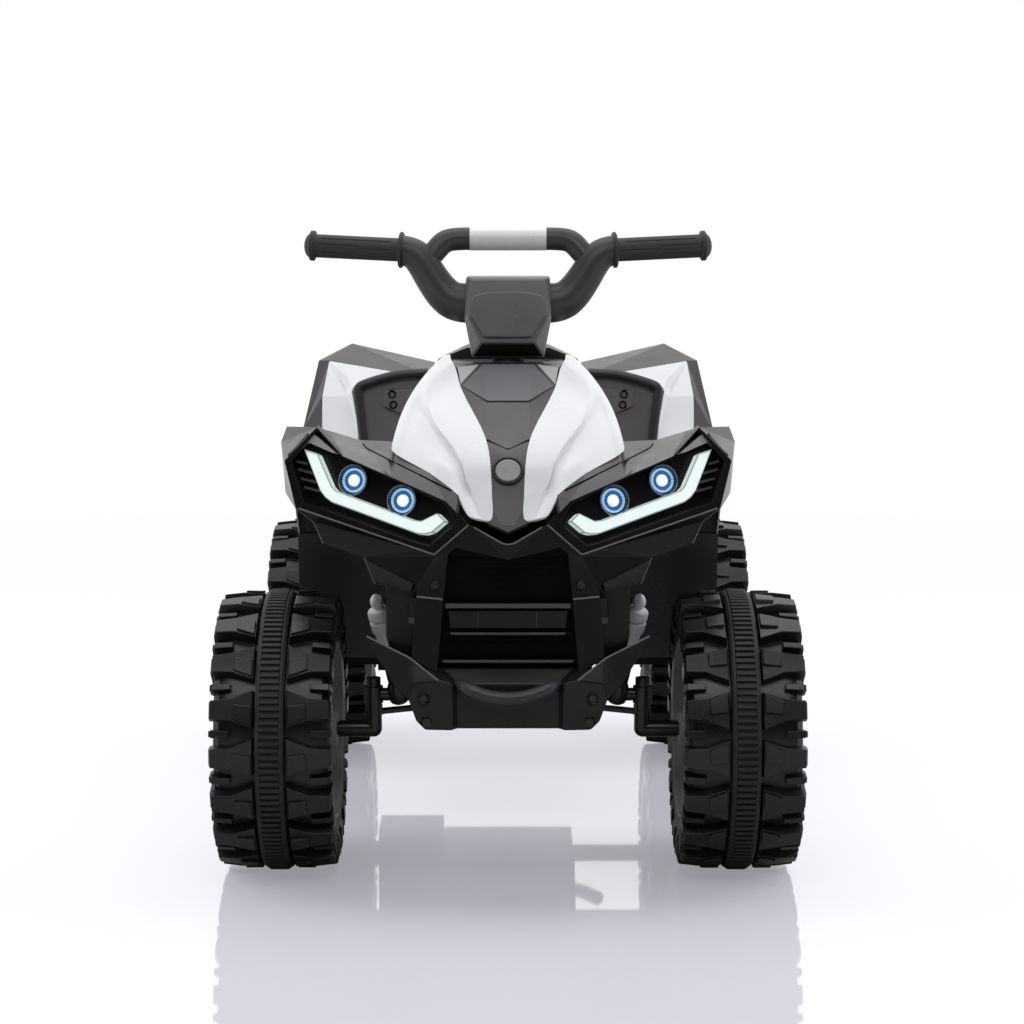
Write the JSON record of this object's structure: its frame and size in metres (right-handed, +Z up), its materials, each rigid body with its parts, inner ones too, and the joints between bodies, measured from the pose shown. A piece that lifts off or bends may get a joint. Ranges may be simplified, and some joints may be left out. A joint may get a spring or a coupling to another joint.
{
  "type": "kids quad bike",
  "caption": "Ride-on toy quad bike with lugged wheels, linked handlebar steering, foot pedal, geared wheel drive and twin swept headlights.",
  "frame": {"origin": "on the ground, under the middle of the quad bike's bounding box", "axes": "+Z up, -Y to the front, +X to the rider's left"},
  "size_m": [0.44, 0.687, 0.4928],
  "materials": {
    "charcoal_panel": "satin moulded plastic",
    "white_panel": "smooth gloss plastic",
    "black_plastic": "matt moulded plastic",
    "tyre_plastic": "matt blow-moulded plastic",
    "band_rubber": "matt ribbed rubber",
    "rim_plastic": "satin grey plastic",
    "grey_plastic": "satin grey plastic",
    "silver_plastic": "silver-white gloss plastic",
    "grip_rubber": "soft-touch matt",
    "axle_steel": "zinc-plated steel",
    "screw_steel": "dark screw heads",
    "light_strip": "clear-white light guide",
    "projector_ring": "blue tinted ring",
    "projector_lens": "frosted lens",
    "tail_lamp": "red lamp plastic",
    "button_plastic": "red gloss plastic",
    "gear_plastic": "natural moulded plastic",
    "motor_can": "plated steel can",
    "battery_case": "plain battery case"
  },
  "bodies": {
    "chassis": {"battery": "battery_case", "body_screws": "screw_steel", "centre_body": "charcoal_panel", "chassis_tub": "black_plastic", "dash_panel": "charcoal_panel", "fender_insert_left": "white_panel", "fender_insert_right": "white_panel", "front_axle_beam": "axle_steel", "front_bumper": "charcoal_panel", "front_grille": "black_plastic", "front_mask": "charcoal_panel", "front_mudguard_left": "charcoal_panel", "front_mudguard_right": "charcoal_panel", "gear_case": "black_plastic", "gear_motor": "motor_can", "headlight_bezels": "black_plastic", "hood_badge": "silver_plastic", "hood_centre_panel": "charcoal_panel", "hood_panel_left": "white_panel", "hood_panel_right": "white_panel", "leg_guard_left": "charcoal_panel", "leg_guard_right": "charcoal_panel", "light_strips": "light_strip", "projector_lenses": "projector_lens", "projector_rings": "projector_ring", "rear_axle": "axle_steel", "rear_bumper": "charcoal_panel", "rear_fender_left": "charcoal_panel", "rear_fender_right": "charcoal_panel", "seat": "black_plastic", "shock_absorbers": "grey_plastic", "tail_cover": "charcoal_panel", "tail_lights": "tail_lamp", "tank_cover": "charcoal_panel"},
    "steering": {"steering_column": "axle_steel", "handlebar": "charcoal_panel", "crossbar_sleeve": "silver_plastic", "stem_cover": "charcoal_panel", "grips": "grip_rubber"},
    "knuckle_left": {"knuckle_left": "axle_steel"},
    "knuckle_right": {"knuckle_right": "axle_steel"},
    "tie_rod": {"tie_rod": "axle_steel"},
    "reduction_gear": {"reduction_gear": "gear_plastic"},
    "motor_pinion": {"motor_pinion": "axle_steel"},
    "accelerator_pedal": {"accelerator_pedal": "grey_plastic"},
    "power_button": {"power_button": "button_plastic"},
    "direction_switch": {"direction_switch": "black_plastic"},
    "wheel_front_left": {"tyre_front_left": "tyre_plastic", "traction_band_front_left": "band_rubber", "rim_front_left": "rim_plastic"},
    "wheel_front_right": {"tyre_front_right": "tyre_plastic", "traction_band_front_right": "band_rubber", "rim_front_right": "rim_plastic"},
    "wheel_rear_left": {"tyre_rear_left": "tyre_plastic", "traction_band_rear_left": "band_rubber", "rim_rear_left": "rim_plastic"},
    "wheel_rear_right": {"tyre_rear_right": "tyre_plastic", "traction_band_rear_right": "band_rubber", "rim_rear_right": "rim_plastic", "drive_gear": "gear_plastic"}
  },
  "joints": [
    {"name": "steering_turn", "type": "hinge", "parent": "chassis", "child": "steering", "pos_m": [0, -0.1875, 0.128], "axis": [0, 0.1736, 0.9848], "range_deg": [-25, 25]},
    {"name": "knuckle_left_turn", "type": "hinge", "parent": "chassis", "child": "knuckle_left", "pos_m": [0.104, -0.2125, 0.135], "axis": [0, 0, 1], "range_deg": [-26, 26]},
    {"name": "knuckle_right_turn", "type": "hinge", "parent": "chassis", "child": "knuckle_right", "pos_m": [-0.104, -0.2125, 0.135], "axis": [0, 0, 1], "range_deg": [-26, 26]},
    {"name": "tie_rod_pivot", "type": "hinge", "parent": "knuckle_left", "child": "tie_rod", "pos_m": [0.104, -0.1845, 0.1153], "axis": [0, 0, 1], "range_deg": [-26, 26]},
    {"name": "wheel_front_left_spin", "type": "hinge", "parent": "knuckle_left", "child": "wheel_front_left", "pos_m": [0.175, -0.2125, 0.108], "axis": [1, 0, 0], "continuous": true},
    {"name": "wheel_front_right_spin", "type": "hinge", "parent": "knuckle_right", "child": "wheel_front_right", "pos_m": [-0.175, -0.2125, 0.108], "axis": [1, 0, 0], "continuous": true},
    {"name": "wheel_rear_left_spin", "type": "hinge", "parent": "chassis", "child": "wheel_rear_left", "pos_m": [0.175, 0.2125, 0.108], "axis": [1, 0, 0], "continuous": true},
    {"name": "wheel_rear_right_spin", "type": "hinge", "parent": "chassis", "child": "wheel_rear_right", "pos_m": [-0.175, 0.2125, 0.108], "axis": [1, 0, 0], "continuous": true},
    {"name": "reduction_gear_spin", "type": "hinge", "parent": "chassis", "child": "reduction_gear", "pos_m": [-0.105, 0.19625, 0.13615], "axis": [1, 0, 0], "continuous": true},
    {"name": "motor_pinion_spin", "type": "hinge", "parent": "chassis", "child": "motor_pinion", "pos_m": [-0.097, 0.19226, 0.1588], "axis": [1, 0, 0], "continuous": true},
    {"name": "pedal_press", "type": "hinge", "parent": "chassis", "child": "accelerator_pedal", "pos_m": [-0.115, 0.0475, 0.14], "axis": [1, 0, 0], "range_deg": [0, 10], "stiffness_Nm_per_rad": 2, "springref_deg": -6.88},
    {"name": "power_button_press", "type": "slide", "parent": "chassis", "child": "power_button", "axis": [0, -0.7295, -0.6839], "range_m": [0, 0.0025], "stiffness_N_per_m": 500, "springref_m": -0.002},
    {"name": "direction_switch_rock", "type": "hinge", "parent": "chassis", "child": "direction_switch", "pos_m": [-0.017, -0.065, 0.374], "axis": [1, 0, 0], "range_deg": [-8, 8]}
  ],
  "couplings": [
    {"joint": "knuckle_left_turn", "follows": "steering_turn", "ratio": 1},
    {"joint": "knuckle_right_turn", "follows": "steering_turn", "ratio": 1},
    {"joint": "tie_rod_pivot", "follows": "steering_turn", "ratio": -1},
    {"joint": "reduction_gear_spin", "follows": "wheel_rear_right_spin", "ratio": -3.3333},
    {"joint": "motor_pinion_spin", "follows": "wheel_rear_right_spin", "ratio": 12}
  ]
}
